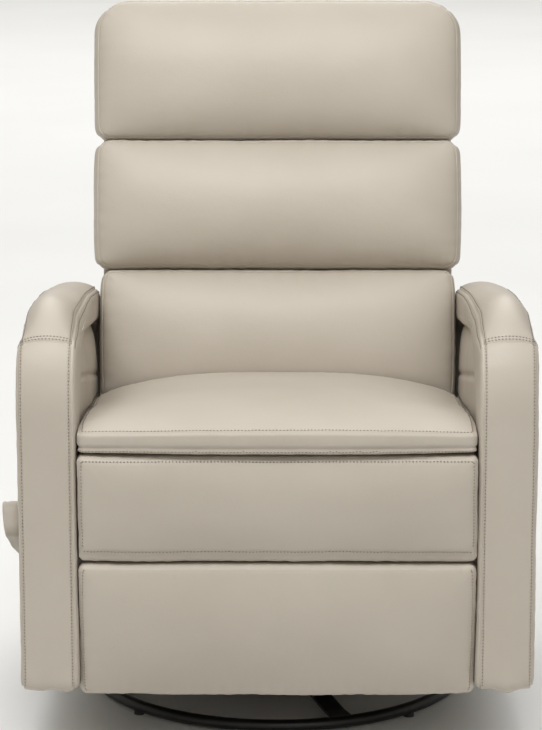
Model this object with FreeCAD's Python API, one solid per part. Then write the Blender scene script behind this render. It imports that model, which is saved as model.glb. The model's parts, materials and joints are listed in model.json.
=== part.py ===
import FreeCAD, Part
import math
import os

# Swivel glider recliner for a nursery: a ring base that swivels, a chair body hung on
# four glide links, a reclining back of three pillows and a two-panel footrest worked
# by a side lever.  Millimetres, +Z up, the sitter faces -Y.  Every part is drawn with
# the swivel axis at X = Y = 0 and is moved by FRAME_SHIFT when it is written, which
# puts the origin under the centre of the whole chair.

V = FreeCAD.Vector
FRAME_SHIFT = V(15.5, 34.0, 0)

# ---- driving dimensions -------------------------------------------------------
SHEET = 4.0                  # plate thickness of the steel mechanism
CLEAR = 0.05                 # radial clearance of a running fit

RING_RADIUS = 293.0          # base ring, centre line
RING_TUBE = 9.0              # radius of the ring's tube
GLIDE_HEIGHT = 4.0
GLIDE_COUNT = 8
SPOKE_ANGLE = 21.0           # first spoke, measured from the front towards +X
SPOKE_WIDTH = 30.0
SPOKE_THICKNESS = 5.0
HUB_Z = 34.0                 # underside of the base's hub plate
RACE_RADIUS = 50.0           # ball circle of the swivel bearing
BALL_RADIUS = 4.0
BALL_COUNT = 16

RAIL_Z = 60.0                # underside of the swivel cross rails
RAIL_HEIGHT = 25.0
RAIL_WIDTH = 30.0
RAIL_Y = 60.0

GLIDE_PIVOT_Y = 120.0        # front and rear glide pivots, either side of the axis
GLIDE_TOP_Z = 235.0
GLIDE_LENGTH = 140.0         # pivot to pivot
PIVOT_PIN = 5.0

SIDE_X = 238.0               # inner face of the recliner side plates
ARM_INNER_X = 289.0
ARM_OUTER_X = 375.0
ARM_FRONT_Y = -420.0
ARM_REAR_Y = 270.0
ARM_BOTTOM_Z = 113.0
ARM_TOP_Z = 675.0            # height of the armrest at ARM_TOP_Y
ARM_TOP_Y = -300.0
ARM_FALL = 0.15              # the armrest falls this much per unit towards the back
ARM_SHOULDER = 140.0         # radius of the arm's front top corner
ARM_BOLTS = ((-180.0, 402.0), (50.0, 378.0))

SEAT_FRONT_Y = -330.0        # front of the seat deck
SEAT_REAR_Y = 100.0
DECK_FRONT_Z = 450.0
SEAT_FALL = 0.105
CUSHION_HALF = 286.0
DECK_THICKNESS = 6.0
RAIL_WOOD = 22.0             # thickness of the wooden rails

BACK_HINGE_Y = 140.0
BACK_HINGE_Z = 370.0
BACK_LEAN = 15.0             # lean of the back at rest, degrees from upright
BACK_TOP = 640.0             # frame height above the hinge, along the back
PILLOW_BREAKS = (36.0, 255.0, 464.0, 688.0)

DRIVE_Y = -206.0             # drive tube, which the lever turns
DRIVE_Z = 288.0
DRIVE_RADIUS = 9.0
KNEE_Y = -149.0              # pivot between drive links and footrest links
KNEE_Z = 96.0
FOOT_Y = -350.0              # pivot between footrest links and the ottoman
FOOT_Z = 312.0
BOARD_REAR_Y = -365.0        # rear face of the footrest boards
BOARD_THICKNESS = 12.0
FLAP_HINGE_Y = -361.0
FLAP_HINGE_Z = 314.0
KNUCKLE = 4.0

LEVER_LEAN = 31.6            # rise of the lever above forward, degrees
LEVER_INNER_X = 381.0
LEVER_THICKNESS = 25.0


# ---- helpers --------------------------------------------------------------------
def box(x0, x1, y0, y1, z0, z1):
    """Box between two corners."""
    return Part.makeBox(x1 - x0, y1 - y0, z1 - z0, V(x0, y0, z0))


def rod_x(y, z, radius, x0, x1):
    """Round bar along X."""
    return Part.makeCylinder(radius, x1 - x0, V(x0, y, z), V(1, 0, 0))


def disc(radius, z0, z1, x=0.0, y=0.0):
    """Round disc along Z."""
    return Part.makeCylinder(radius, z1 - z0, V(x, y, z0))


def outline(corners):
    """Closed wire in the YZ plane from (y, z, corner radius), rounded at each corner."""
    count = len(corners)
    starts = []
    ends = []
    middles = []
    for index in range(count):
        before = V(0, corners[index - 1][0], corners[index - 1][1])
        here = V(0, corners[index][0], corners[index][1])
        after_corner = corners[(index + 1) % count]
        after = V(0, after_corner[0], after_corner[1])
        radius = corners[index][2]
        to_before = (before - here).normalize()
        to_after = (after - here).normalize()
        half = to_before.getAngle(to_after) / 2
        reach = radius / math.tan(half)
        inward = (to_before + to_after).normalize()
        starts.append(here + to_before * reach)
        ends.append(here + to_after * reach)
        middles.append(here + inward * (radius / math.sin(half) - radius))
    edges = []
    for index in range(count):
        edges.append(Part.Arc(starts[index], middles[index], ends[index]).toShape())
        following = starts[(index + 1) % count]
        if (following - ends[index]).Length > 0.01:
            edges.append(Part.LineSegment(ends[index], following).toShape())
    return Part.Wire(edges)


def plate(corners, x0, x1):
    """Rounded outline in the YZ plane, extruded from x0 to x1."""
    shape = Part.Face(outline(corners)).extrude(V(x1 - x0, 0, 0))
    shape.translate(V(x0, 0, 0))
    return shape


def link(y0, z0, y1, z1, half_width, x0, x1):
    """Flat bar with round ends between two pivots."""
    along = V(0, y1 - y0, z1 - z0)
    length = along.Length
    reach = half_width
    corners = [(-reach, -half_width, half_width * 0.99), (length + reach, -half_width, half_width * 0.99),
               (length + reach, half_width, half_width * 0.99), (-reach, half_width, half_width * 0.99)]
    bar = plate(corners, x0, x1)
    bar.rotate(V(0, 0, 0), V(1, 0, 0), math.degrees(math.atan2(along.z, along.y)))
    bar.translate(V(0, y0, z0))
    return bar


def mirrored(shape):
    """The same shape on the other side of the chair."""
    return shape.mirror(V(0, 0, 0), V(1, 0, 0))


def both_sides(*shapes):
    """Each shape and its mirror image."""
    pairs = []
    for shape in shapes:
        pairs.append(shape)
        pairs.append(mirrored(shape))
    return pairs


def save(name, solids):
    """Write one sub-part, moved from the swivel axis to the chair's own origin."""
    compound = Part.makeCompound(solids)
    compound.translate(FRAME_SHIFT)
    compound.exportStep("parts/" + name + ".step")


def lean_back(shape):
    """Carry a shape drawn on an upright back (Y backwards, Z up from the hinge) to its place."""
    placed = shape.copy()
    placed.rotate(V(0, 0, 0), V(1, 0, 0), -BACK_LEAN)
    placed.translate(V(0, BACK_HINGE_Y, BACK_HINGE_Z))
    return placed


def deck_z(y):
    """Top of the seat deck, which falls towards the back."""
    return DECK_FRONT_Z - SEAT_FALL * (y - SEAT_FRONT_Y)


def armrest_z(y):
    """Top of the armrest."""
    return ARM_TOP_Z - ARM_FALL * (y - ARM_TOP_Y)


def sinuous_spring(length, width, pitch, wire):
    """Zigzag seat spring in the XY plane, running along +Y from the origin."""
    bend = pitch / 2
    reach = width / 2 - bend
    rows = int(length / pitch)
    edges = []
    for row in range(rows):
        side = 1 if row % 2 == 0 else -1
        y = row * pitch
        edges.append(Part.LineSegment(V(-side * reach, y, 0), V(side * reach, y, 0)).toShape())
        if row < rows - 1:
            edges.append(Part.Arc(V(side * reach, y, 0), V(side * (reach + bend), y + bend, 0),
                                  V(side * reach, y + pitch, 0)).toShape())
    path = Part.Wire(edges)
    section = Part.Wire(Part.makeCircle(wire, V(-reach, 0, 0), V(1, 0, 0)))
    return path.makePipeShell([section], True, True)


# ---- base -----------------------------------------------------------------------
def ring_solid():
    return Part.makeTorus(RING_RADIUS, RING_TUBE, V(0, 0, GLIDE_HEIGHT + RING_TUBE))


def base_glides(ring):
    glides = []
    for index in range(GLIDE_COUNT):
        angle = math.radians(360.0 * index / GLIDE_COUNT - 1.5)
        x = RING_RADIUS * math.sin(angle)
        y = -RING_RADIUS * math.cos(angle)
        glides.append(disc(8.0, 0, GLIDE_HEIGHT + 4, x, y).cut(ring))
    return glides


def base_spokes(ring):
    outer = RING_RADIUS - 2
    low = GLIDE_HEIGHT + RING_TUBE - SPOKE_THICKNESS / 2
    high = HUB_Z - SPOKE_THICKNESS
    corners = [(-24, high, 0.5), (-95, high, 8), (-245, low, 8), (-outer, low, 0.5),
               (-outer, low + SPOKE_THICKNESS, 0.5), (-245, low + SPOKE_THICKNESS, 8),
               (-95, HUB_Z, 8), (-24, HUB_Z, 0.5)]
    first = plate(corners, -SPOKE_WIDTH / 2, SPOKE_WIDTH / 2).cut(ring)
    spokes = []
    for index in range(4):
        spoke = first.copy()
        spoke.rotate(V(0, 0, 0), V(0, 0, 1), SPOKE_ANGLE + 90 * index)
        spokes.append(spoke)
    return spokes


def bearing_races():
    ball_z = HUB_Z + 5 + 8
    groove = Part.makeTorus(RACE_RADIUS, BALL_RADIUS + 0.3, V(0, 0, ball_z))
    lower = disc(RACE_RADIUS + 12, ball_z - 8, ball_z - 1).cut(disc(RACE_RADIUS - 12, 0, 100)).cut(groove)
    upper = disc(RACE_RADIUS + 12, ball_z + 1, ball_z + 8).cut(disc(RACE_RADIUS - 12, 0, 100)).cut(groove)
    balls = []
    for index in range(BALL_COUNT):
        angle = 2 * math.pi * index / BALL_COUNT
        centre = V(RACE_RADIUS * math.cos(angle), RACE_RADIUS * math.sin(angle), ball_z)
        balls.append(Part.makeSphere(BALL_RADIUS, centre))
    return lower, upper, balls


def make_base():
    ring = ring_solid()
    lower_race, upper_race, balls = bearing_races()
    save("base_ring", [ring])
    save("base_glides", base_glides(ring))
    save("base_spokes", base_spokes(ring))
    save("base_hub_plate", [disc(80, HUB_Z, HUB_Z + 5).cut(disc(8 + CLEAR, 0, 100))])
    save("lower_bearing_race", [lower_race])
    save("upper_bearing_race", [upper_race])
    save("bearing_balls", balls)


# ---- swivel frame -----------------------------------------------------------------
def swivel_plate():
    square = box(-90, 90, -90, 90, RAIL_Z - 5, RAIL_Z)
    corners = [edge for edge in square.Edges if abs(edge.tangentAt(edge.FirstParameter).z) > 0.9]
    return square.makeFillet(20, corners).cut(disc(8, 0, 100))


def kingpin():
    shank = disc(8, 24, RAIL_Z + 2)
    head = disc(15, RAIL_Z, RAIL_Z + 9)
    return shank.fuse(head).removeSplitter()


def hexagon(across, z0, z1):
    points = [V(across * math.cos(math.radians(60 * k)), across * math.sin(math.radians(60 * k)), z0)
              for k in range(7)]
    return Part.Face(Part.makePolygon(points)).extrude(V(0, 0, z1 - z0))


def cross_rail(y):
    half = RAIL_WIDTH / 2
    wall = 2.5
    outer = box(-200, 200, y - half, y + half, RAIL_Z, RAIL_Z + RAIL_HEIGHT)
    inner = box(-201, 201, y - half + wall, y + half - wall, RAIL_Z + wall, RAIL_Z + RAIL_HEIGHT - wall)
    return outer.cut(inner)


def glider_bracket():
    foot_z = RAIL_Z + RAIL_HEIGHT
    top = GLIDE_TOP_Z + 15
    wide = GLIDE_PIVOT_Y + 16
    corners = [(-60, foot_z, 0.5), (-60, foot_z + 45, 25), (-wide, GLIDE_TOP_Z - 16, 12), (-wide, top, 12),
               (wide, top, 12), (wide, GLIDE_TOP_Z - 16, 12), (60, foot_z + 45, 25), (60, foot_z, 0.5)]
    web = plate(corners, 196, 200)
    foot = box(165, 198, -60, 60, foot_z, foot_z + SHEET)
    window = plate([(-35, 130, 10), (-70, 205, 15), (70, 205, 15), (35, 130, 10)], 190, 210)
    bracket = web.fuse(foot).removeSplitter().cut(window)
    for y in (-GLIDE_PIVOT_Y, GLIDE_PIVOT_Y):
        bracket = bracket.cut(rod_x(y, GLIDE_TOP_Z, PIVOT_PIN, 190, 210))
    for y in (-48, 48):
        bracket = bracket.cut(disc(4, 0, 120, 180, y))
    return bracket


def upper_pin(y):
    shank = rod_x(y, GLIDE_TOP_Z, PIVOT_PIN, 194, 207)
    inner_head = rod_x(y, GLIDE_TOP_Z, 8, 192, 196)
    outer_head = rod_x(y, GLIDE_TOP_Z, 9, 206.4, 209.4)
    return shank.fuse([inner_head, outer_head]).removeSplitter()


def bracket_bolt(y):
    top = RAIL_Z + RAIL_HEIGHT + SHEET
    return disc(4, RAIL_Z + 10, top, 180, y).fuse(disc(7.5, top, top + 5, 180, y)).removeSplitter()


def make_swivel_frame():
    rails = [cross_rail(-RAIL_Y), cross_rail(RAIL_Y)]
    for x in (-180, 180):
        for y in (-48, 48):
            rails = [rail.cut(disc(4, RAIL_Z + 10, 120, x, y)) for rail in rails]
    save("swivel_plate", [swivel_plate()])
    save("kingpin", [kingpin()])
    save("kingpin_nut", [hexagon(13.5, 24.5, 33.4).cut(disc(8, 0, 100))])
    save("swivel_cross_rails", rails)
    save("glider_brackets", both_sides(glider_bracket()))
    save("upper_pivot_pins", both_sides(upper_pin(-GLIDE_PIVOT_Y), upper_pin(GLIDE_PIVOT_Y)))
    save("bracket_bolts", both_sides(bracket_bolt(-48), bracket_bolt(48)))


# ---- glide links ------------------------------------------------------------------
def glide_link(y):
    low = GLIDE_TOP_Z - GLIDE_LENGTH
    bar = link(y, low, y, GLIDE_TOP_Z, 12.5, 202, 206)
    for z in (low, GLIDE_TOP_Z):
        bar = bar.cut(rod_x(y, z, 7, 200, 208))
    return bar


def link_bush(y, z, bore):
    return rod_x(y, z, 7, 202, 206).cut(rod_x(y, z, bore, 200, 208))


def make_glide_links():
    low = GLIDE_TOP_Z - GLIDE_LENGTH
    bore = PIVOT_PIN + CLEAR
    open_bore = PIVOT_PIN + 0.5        # the pivot at which the four-bar loop is opened
    front = -GLIDE_PIVOT_Y
    rear = GLIDE_PIVOT_Y
    save("front_glide_links", both_sides(glide_link(front)))
    save("rear_glide_links", both_sides(glide_link(rear)))
    save("front_link_bushes", both_sides(link_bush(front, low, bore), link_bush(front, GLIDE_TOP_Z, bore)))
    save("rear_link_bushes", both_sides(link_bush(rear, low, open_bore), link_bush(rear, GLIDE_TOP_Z, bore)))


# ---- chair body: mechanism --------------------------------------------------------
def glide_rail():
    upright = box(208, 212, -150, 150, 82, 112)
    flange = box(211, SIDE_X, -150, 150, 82, 86)
    rail = upright.fuse(flange).removeSplitter()
    for y in (-GLIDE_PIVOT_Y, GLIDE_PIVOT_Y):
        rail = rail.cut(rod_x(y, GLIDE_TOP_Z - GLIDE_LENGTH, PIVOT_PIN, 200, 215))
    return rail


def lower_pin(y):
    z = GLIDE_TOP_Z - GLIDE_LENGTH
    shank = rod_x(y, z, PIVOT_PIN, 200, 213)
    inner_head = rod_x(y, z, 9, 198.6, 201.6)
    outer_head = rod_x(y, z, 8, 212, 215)
    return shank.fuse([inner_head, outer_head]).removeSplitter()


def side_plate():
    corners = [(-292, 392, 8), (-292, 335, 10), (-240, 262, 20), (-165, 82, 8), (165, 82, 8),
               (175, 250, 40), (168, 388, 12), (125, 396, 8)]
    shape = plate(corners, SIDE_X, SIDE_X + SHEET)
    shape = shape.cut(plate([(-120, 130, 15), (-150, 250, 20), (110, 250, 20), (110, 130, 15)], 230, 250))
    shape = shape.cut(rod_x(DRIVE_Y, DRIVE_Z, DRIVE_RADIUS + CLEAR, 230, 250))
    shape = shape.cut(rod_x(BACK_HINGE_Y, BACK_HINGE_Z, 6 + CLEAR, 230, 250))
    for y, z in ARM_BOLTS:
        shape = shape.cut(rod_x(y, z, 4, 230, 250))
    return shape


def cross_tube(y, z):
    return rod_x(y, z, 11, -SIDE_X, SIDE_X).cut(rod_x(y, z, 9, -SIDE_X - 1, SIDE_X + 1))


def make_mechanism():
    save("glide_rails", both_sides(glide_rail()))
    save("lower_pivot_pins", both_sides(lower_pin(-GLIDE_PIVOT_Y), lower_pin(GLIDE_PIVOT_Y)))
    save("side_plates", both_sides(side_plate()))
    save("cross_tubes", [cross_tube(-262, 345), cross_tube(140, 300)])


# ---- chair body: seat -------------------------------------------------------------
def seat_side_rail():
    top_gap = DECK_THICKNESS
    deep = 65 + DECK_THICKNESS
    corners = [(SEAT_FRONT_Y, deck_z(SEAT_FRONT_Y) - top_gap, 1), (SEAT_FRONT_Y, deck_z(SEAT_FRONT_Y) - deep, 10),
               (118, deck_z(118) - deep, 10), (118, deck_z(118) - top_gap, 1)]
    rail = plate(corners, SIDE_X + SHEET, SIDE_X + SHEET + RAIL_WOOD)
    for y, z in ARM_BOLTS:
        rail = rail.cut(rod_x(y, z, 4, 230, 280))
    return rail


def seat_cross_rail(y):
    top = min(deck_z(y), deck_z(y + RAIL_WOOD)) - DECK_THICKNESS - 1
    return box(-SIDE_X + 0.5, SIDE_X - 0.5, y, y + RAIL_WOOD, top - 50, top)


def seat_springs():
    run = SEAT_REAR_Y - SEAT_FRONT_Y - 2 * RAIL_WOOD
    springs = []
    for x in (-176, -88, 0, 88, 176):
        spring = sinuous_spring(run, 56, 24, 1.8)
        spring.rotate(V(0, 0, 0), V(1, 0, 0), -math.degrees(math.atan(SEAT_FALL)))
        start = SEAT_FRONT_Y + RAIL_WOOD + 6
        spring.translate(V(x, start, deck_z(start) - DECK_THICKNESS - 4))
        springs.append(spring)
    return springs


def seat_deck():
    corners = [(SEAT_FRONT_Y, deck_z(SEAT_FRONT_Y) - DECK_THICKNESS, 0.5), (SEAT_FRONT_Y, deck_z(SEAT_FRONT_Y), 0.5),
               (SEAT_REAR_Y, deck_z(SEAT_REAR_Y), 0.5), (SEAT_REAR_Y, deck_z(SEAT_REAR_Y) - DECK_THICKNESS, 0.5)]
    return plate(corners, -264, 264)


def seat_cushion():
    front = ARM_FRONT_Y - 16
    corners = [(front, 464, 4), (front, 506, 22), (-300, 522, 120), (76, 474, 8), (59, 411, 4),
               (SEAT_FRONT_Y, DECK_FRONT_Z + 1, 60)]
    return plate(corners, -CUSHION_HALF, CUSHION_HALF)


def make_seat():
    save("seat_side_rails", both_sides(seat_side_rail()))
    save("seat_cross_rails", [seat_cross_rail(SEAT_FRONT_Y), seat_cross_rail(SEAT_REAR_Y - RAIL_WOOD)])
    save("seat_springs", seat_springs())
    save("seat_deck", [seat_deck()])
    save("seat_cushion", [seat_cushion()])


# ---- chair body: arms -------------------------------------------------------------
def arm_profile(inset):
    """Side outline of the arm, drawn in by inset."""
    front = ARM_FRONT_Y + inset
    rear = ARM_REAR_Y - inset
    low = ARM_BOTTOM_Z + inset
    return [(front, low, 20), (front, armrest_z(front) - inset, ARM_SHOULDER - inset),
            (rear, armrest_z(rear) - inset, 90 - inset), (rear, low, 20)]


def arm_window():
    """Inner outline of the arm's loop, which the side panels close."""
    front = ARM_FRONT_Y + 85
    rear = ARM_REAR_Y - 75
    low = ARM_BOTTOM_Z + 70
    return [(front, low, 15), (front, armrest_z(front) - 70, 60), (rear, armrest_z(rear) - 80, 45), (rear, low, 15)]


def arm_frame():
    ring = plate(arm_profile(20), 322, 340)
    return ring.cut(plate(arm_window(), 300, 360))


def arm_pad(frame):
    band = plate(arm_profile(0), ARM_INNER_X, ARM_OUTER_X)
    return band.cut(plate(arm_window(), ARM_INNER_X - 1, ARM_OUTER_X + 1)).cut(frame)


def arm_inner_panel():
    panel = plate(arm_window(), 307, 319)
    for y, z in ARM_BOLTS:
        panel = panel.cut(rod_x(y, z, 4, 300, 330))
    return panel


def arm_spacer(y, z):
    low = SIDE_X + SHEET + RAIL_WOOD
    return box(low, 307, y - 28, y + 28, z - 24, z + 24).cut(rod_x(y, z, 4, 250, 310))


def arm_bolt(y, z):
    shank = rod_x(y, z, 4, SIDE_X - 2, 326)
    head = rod_x(y, z, 8, SIDE_X - 5, SIDE_X)
    nut = rod_x(y, z, 8, 319, 325)
    return shank.fuse([head, nut]).removeSplitter()


def make_arms():
    frame = arm_frame()
    pad = arm_pad(frame)
    inner = arm_inner_panel()
    outer = plate(arm_window(), 352, 364)
    drive_hole = rod_x(DRIVE_Y, DRIVE_Z, DRIVE_RADIUS + 3, 300, 380)
    save("arm_frames", both_sides(frame))
    save("arm_pad_right", [pad])
    save("arm_pad_left", [mirrored(pad)])
    save("arm_panels_right", [inner, outer])
    save("arm_panels_left", [mirrored(inner.cut(drive_hole)), mirrored(outer.cut(drive_hole))])
    save("arm_spacer_blocks", both_sides(*[arm_spacer(y, z) for y, z in ARM_BOLTS]))
    save("arm_bolts", both_sides(*[arm_bolt(y, z) for y, z in ARM_BOLTS]))
    save("rear_lower_panel", [box(-ARM_INNER_X + 1, ARM_INNER_X - 1, 250, 262, ARM_BOTTOM_Z + 5, 372)])


# ---- reclining back ---------------------------------------------------------------
def back_stile():
    return box(236, 262, 2, 42, 34, BACK_TOP)


def back_cross_rail(half, low, high):
    return box(-half, half, 4, 40, low, high)


def back_springs():
    springs = []
    for height in (150, 235, 320, 445, 530):
        spring = sinuous_spring(452, 50, 24, 1.6)
        spring.rotate(V(0, 0, 0), V(0, 0, 1), -90)
        spring.rotate(V(0, 0, 0), V(1, 0, 0), 90)
        spring.translate(V(-216, 14, height))
        springs.append(lean_back(spring))
    return springs


def pillow(low, high, front, half_width, rear=0.0):
    """Crowned back pillow between two heights on the back."""
    gap = 1.5
    corners = [(rear, low + gap, 12), (front + 8, low + gap, 30), (front - 14, (low + high) / 2, 200),
               (front + 8, high - gap, 30), (rear, high - gap, 12)]
    return plate(corners, -half_width, half_width)


def head_pillow():
    """Top pillow, which also rolls over the frame's top rail."""
    front = pillow(PILLOW_BREAKS[2], PILLOW_BREAKS[3], -76, 292)
    roll = plate([(-10, BACK_TOP + 1, 4), (-10, PILLOW_BREAKS[3] - 2, 14), (58, PILLOW_BREAKS[3] - 2, 26),
                  (58, BACK_TOP + 1, 4)], -286, 286)
    return front.fuse(roll).removeSplitter()


def back_side_panel():
    return box(276, 284, 2, 44, 34, BACK_TOP)


def back_filler():
    return box(262, 276, 4, 42, 34, BACK_TOP)


def hinge_strap():
    """Steel strap from the hinge pin up the inner side of the back's stile."""
    corners = [(-15, -15, 14), (15, -15, 14), (38, 60, 10), (38, 165, 6), (4, 165, 6), (4, 33, 4), (-15, 14, 8)]
    strap = plate(corners, 232, 236)
    return strap.cut(rod_x(0, 0, 6, 220, 240))


def hinge_pin():
    shank = rod_x(BACK_HINGE_Y, BACK_HINGE_Z, 6, 230, 244)
    inner_head = rod_x(BACK_HINGE_Y, BACK_HINGE_Z, 10, 228, 232)
    outer_head = rod_x(BACK_HINGE_Y, BACK_HINGE_Z, 10, 242.4, 245.4)
    return shank.fuse([inner_head, outer_head]).removeSplitter()


def make_back():
    breaks = PILLOW_BREAKS
    save("back_stiles", [lean_back(shape) for shape in both_sides(back_stile())])
    rails = [back_cross_rail(232, 50, 110), back_cross_rail(236, 360, 410), back_cross_rail(236, 580, BACK_TOP)]
    save("back_cross_rails", [lean_back(rail) for rail in rails])
    save("back_springs", back_springs())
    save("back_hinge_brackets", [lean_back(shape) for shape in both_sides(hinge_strap())])
    save("back_hinge_pins", both_sides(hinge_pin()))
    save("pillow_lumbar", [lean_back(pillow(breaks[0], breaks[1], -80, 286))])
    save("pillow_middle", [lean_back(pillow(breaks[1], breaks[2], -84, 294))])
    save("pillow_head", [lean_back(head_pillow())])
    save("back_side_panels", [lean_back(shape) for shape in both_sides(back_side_panel().fuse(back_filler()))])
    save("back_rear_panel", [lean_back(box(-284, 284, 44, 56, 30, BACK_TOP))])


# ---- lever and footrest -------------------------------------------------------------
def drive_tube():
    return rod_x(DRIVE_Y, DRIVE_Z, DRIVE_RADIUS, -366, 250).cut(rod_x(DRIVE_Y, DRIVE_Z, 6.5, -367, 251))


def drive_link():
    bar = link(DRIVE_Y, DRIVE_Z, KNEE_Y, KNEE_Z, 12, 244, 248)
    return bar.cut(rod_x(DRIVE_Y, DRIVE_Z, DRIVE_RADIUS, 240, 250)).cut(rod_x(KNEE_Y, KNEE_Z, 4, 240, 250))


def knee_rivet():
    shank = rod_x(KNEE_Y, KNEE_Z, 4, 244, 257)
    collar = rod_x(KNEE_Y, KNEE_Z, 7, 248, 249.7)
    head = rod_x(KNEE_Y, KNEE_Z, 7, 254.3, 257)
    return shank.fuse([collar, head]).removeSplitter()


def lever_handle():
    corners = [(68, -20, 18), (-40, -34, 60), (-160, -30, 26), (-160, 30, 26), (-40, 30, 60), (68, 18, 16)]
    handle = plate(corners, LEVER_INNER_X, LEVER_INNER_X + LEVER_THICKNESS)
    handle.rotate(V(0, 0, 0), V(1, 0, 0), -LEVER_LEAN)
    handle.translate(V(0, DRIVE_Y, DRIVE_Z))
    return mirrored(handle.cut(rod_x(DRIVE_Y, DRIVE_Z, 4, LEVER_INNER_X - 1, 397)))


def lever_hub():
    boss = rod_x(DRIVE_Y, DRIVE_Z, 18, -LEVER_INNER_X, -366.5)
    plug = rod_x(DRIVE_Y, DRIVE_Z, 6.5, -367, -340)
    return boss.fuse(plug).removeSplitter().cut(rod_x(DRIVE_Y, DRIVE_Z, 4, -400, -330))


def lever_stud():
    return rod_x(DRIVE_Y, DRIVE_Z, 4, -396, -336).fuse(rod_x(DRIVE_Y, DRIVE_Z, 6, -339.5, -335)).removeSplitter()


def foot_link():
    bar = link(KNEE_Y, KNEE_Z, FOOT_Y, FOOT_Z, 12, 250, 254)
    running = 4 + CLEAR
    return bar.cut(rod_x(KNEE_Y, KNEE_Z, running, 240, 260)).cut(rod_x(FOOT_Y, FOOT_Z, running, 240, 260))


def ottoman_bracket():
    flange = box(230, 260, BOARD_REAR_Y, BOARD_REAR_Y + 3, 150, 300)
    corners = [(BOARD_REAR_Y + 1, 150, 1), (-345, 150, 10), (-339, FOOT_Z - 20, 8), (-339, FOOT_Z + 11, 10.5),
               (-361, FOOT_Z + 11, 10.5), (-361, 302, 2), (BOARD_REAR_Y + 1, 298, 1)]
    ear = plate(corners, 256, 260)
    return flange.fuse(ear).removeSplitter().cut(rod_x(FOOT_Y, FOOT_Z, 4, 250, 270))


def foot_rivet():
    shank = rod_x(FOOT_Y, FOOT_Z, 4, 249, 262)
    inner_head = rod_x(FOOT_Y, FOOT_Z, 7, 248.2, 249.7)
    collar = rod_x(FOOT_Y, FOOT_Z, 7, 254.3, 256)
    return shank.fuse([inner_head, collar]).removeSplitter()


def footrest_board(low, high):
    return box(-262, 262, BOARD_REAR_Y - BOARD_THICKNESS, BOARD_REAR_Y, low, high)


def ottoman_pad():
    rear = BOARD_REAR_Y - BOARD_THICKNESS
    corners = [(rear, 107, 6), (ARM_FRONT_Y - 6, 107, 24), (ARM_FRONT_Y - 10, 210, 250),
               (ARM_FRONT_Y - 6, 310, 22), (rear, 310, 6)]
    return plate(corners, -CUSHION_HALF, CUSHION_HALF)


def flap_pad():
    rear = BOARD_REAR_Y - BOARD_THICKNESS
    corners = [(rear, 316, 4), (ARM_FRONT_Y - 4, 316, 14), (ARM_FRONT_Y - 12, 395, 200),
               (ARM_FRONT_Y - 8, 452, 26), (rear, 452, 8)]
    return plate(corners, -CUSHION_HALF, CUSHION_HALF)


def knuckle(x0, x1, bore):
    return rod_x(FLAP_HINGE_Y, FLAP_HINGE_Z, KNUCKLE, x0, x1).cut(
        rod_x(FLAP_HINGE_Y, FLAP_HINGE_Z, bore, x0 - 1, x1 + 1))


def hinge_leaf(x0, x1, low, high, thickness=1.5):
    return box(x0, x1, BOARD_REAR_Y, BOARD_REAR_Y + thickness, low, high)


def ottoman_hinge_leaf():
    pin = 2.0
    leaf = hinge_leaf(150, 210, 280, FLAP_HINGE_Z - 5)
    bridges = [hinge_leaf(150, 169.5, FLAP_HINGE_Z - 6, FLAP_HINGE_Z, 2), hinge_leaf(190.5, 210, FLAP_HINGE_Z - 6,
                                                                                    FLAP_HINGE_Z, 2)]
    knuckles = [knuckle(150, 169.5, pin), knuckle(190.5, 210, pin)]
    bore = rod_x(FLAP_HINGE_Y, FLAP_HINGE_Z, pin, 140, 220)
    return leaf.fuse(bridges + knuckles).removeSplitter().cut(bore)


def flap_hinge_leaf():
    running = 2.0 + CLEAR
    leaf = hinge_leaf(150, 210, FLAP_HINGE_Z + 6, FLAP_HINGE_Z + 36)
    bridge = hinge_leaf(170, 190, FLAP_HINGE_Z, FLAP_HINGE_Z + 7, 2)
    bore = rod_x(FLAP_HINGE_Y, FLAP_HINGE_Z, running, 140, 220)
    return leaf.fuse([bridge, knuckle(170, 190, running)]).removeSplitter().cut(bore)


def make_footrest():
    save("drive_tube", [drive_tube()])
    save("drive_links", both_sides(drive_link()))
    save("knee_rivets", both_sides(knee_rivet()))
    save("lever_handle", [lever_handle()])
    save("lever_hub", [lever_hub()])
    save("lever_stud", [lever_stud()])
    save("foot_links", both_sides(foot_link()))
    save("ottoman_brackets", both_sides(ottoman_bracket()))
    save("foot_rivets", both_sides(foot_rivet()))
    save("ottoman_board", [footrest_board(117, 309)])
    save("ottoman_pad", [ottoman_pad()])
    save("flap_board", [footrest_board(319, 446)])
    save("flap_pad", [flap_pad()])
    hinge_pin_x = rod_x(FLAP_HINGE_Y, FLAP_HINGE_Z, 2, 149, 211)
    save("ottoman_hinge_leaves", both_sides(ottoman_hinge_leaf(), hinge_pin_x))
    save("flap_hinge_leaves", both_sides(flap_hinge_leaf()))


os.makedirs("parts", exist_ok=True)
make_base()
make_swivel_frame()
make_glide_links()
make_mechanism()
make_seat()
make_arms()
make_back()
make_footrest()
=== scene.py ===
"""Looks of a leather glider recliner for a nursery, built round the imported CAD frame.

Tables and shapes are in millimetres in the chair's own frame: the swivel axis is x = y = 0, the
floor is z = 0 and the sitter faces -y.  Meshes are metres, and end in the row frame.
"""

import json
import math

import bmesh  # noqa: E402
import bpy  # noqa: E402
import numpy as np  # noqa: E402
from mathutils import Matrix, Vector  # noqa: E402
from mathutils.bvhtree import BVHTree  # noqa: E402
from mathutils.kdtree import KDTree  # noqa: E402


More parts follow.
